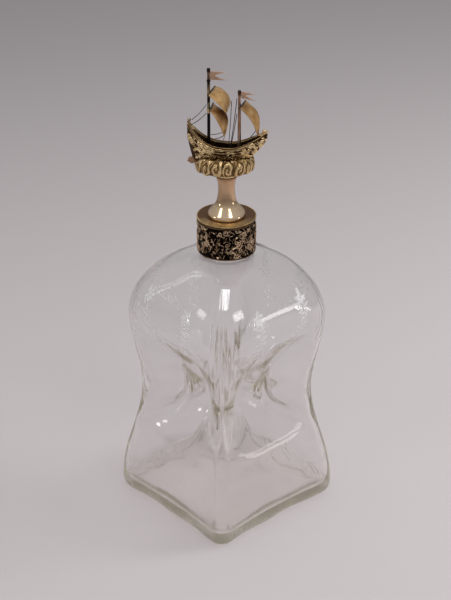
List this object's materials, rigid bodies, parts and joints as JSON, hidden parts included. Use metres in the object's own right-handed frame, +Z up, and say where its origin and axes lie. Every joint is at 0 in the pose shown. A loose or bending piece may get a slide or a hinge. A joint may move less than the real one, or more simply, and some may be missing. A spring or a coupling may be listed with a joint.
{
  "type": "ship-stoppered pinched glass decanter",
  "caption": "Square pinched-waist clear glass decanter with a relief metal collar and a corked metal stopper topped by a small sailing ship.",
  "frame": {"origin": "middle of the base's underside, on the surface that the decanter stands on", "axes": "+Z up along the neck and the stopper; the four sides face +X, -X, +Y and -Y"},
  "size_m": [0.108, 0.108, 0.3088],
  "materials": {
    "clear_glass": "clear blown glass, faintly olive where it is thick",
    "dark_relief_silver": "dark patinated relief with bright high points",
    "gilt_silver": "gilt with dark patina in the hollows",
    "champagne_gilt": "polished pale champagne gilt",
    "oxidised_silver": "dark oxidised metal",
    "satin_gilt_sail": "satin gilt sheet",
    "cork": "natural cork",
    "plaster": "setting plaster",
    "brass_fittings": "plain turned brass"
  },
  "bodies": {
    "decanter": {"glass_bottle": "clear_glass", "collar_band": "dark_relief_silver", "collar_top_plate": "gilt_silver", "collar_cement": "plaster"},
    "cork": {"stopper_cork": "cork"},
    "stopper_top": {"stem_ring": "gilt_silver", "wave_platform": "gilt_silver", "hull_shell": "gilt_silver", "port_rail": "gilt_silver", "starboard_rail": "gilt_silver", "stern_finial": "gilt_silver", "prow_scroll": "gilt_silver", "rudder": "gilt_silver", "fore_mast": "gilt_silver", "main_mast_ring": "gilt_silver", "fore_mast_ring": "gilt_silver", "stopper_dome": "champagne_gilt", "dome_plate": "champagne_gilt", "hull_deck": "oxidised_silver", "main_mast": "oxidised_silver", "topsail_yard": "oxidised_silver", "course_yard": "oxidised_silver", "fore_yard": "oxidised_silver", "upper_backstay": "oxidised_silver", "lower_backstay": "oxidised_silver", "course_buntline": "oxidised_silver", "course_sheet": "oxidised_silver", "course_tack": "oxidised_silver", "topsail_brace": "oxidised_silver", "fore_stay": "oxidised_silver", "main_stay": "oxidised_silver", "foresail_sheet": "oxidised_silver", "main_topsail": "satin_gilt_sail", "main_course": "satin_gilt_sail", "foresail": "satin_gilt_sail", "main_pennant": "satin_gilt_sail", "fore_pennant": "satin_gilt_sail", "cork_rod": "brass_fittings", "cork_washer": "brass_fittings", "cork_nut": "brass_fittings"}
  },
  "joints": [
    {"name": "stopper_lift", "type": "slide", "parent": "decanter", "child": "cork", "axis": [0, 0, 1], "range_m": [0, 0.03]},
    {"name": "stopper_turn", "type": "hinge", "parent": "cork", "child": "stopper_top", "pos_m": [0, 0, 0.2], "axis": [0, 0, 1], "continuous": true}
  ]
}
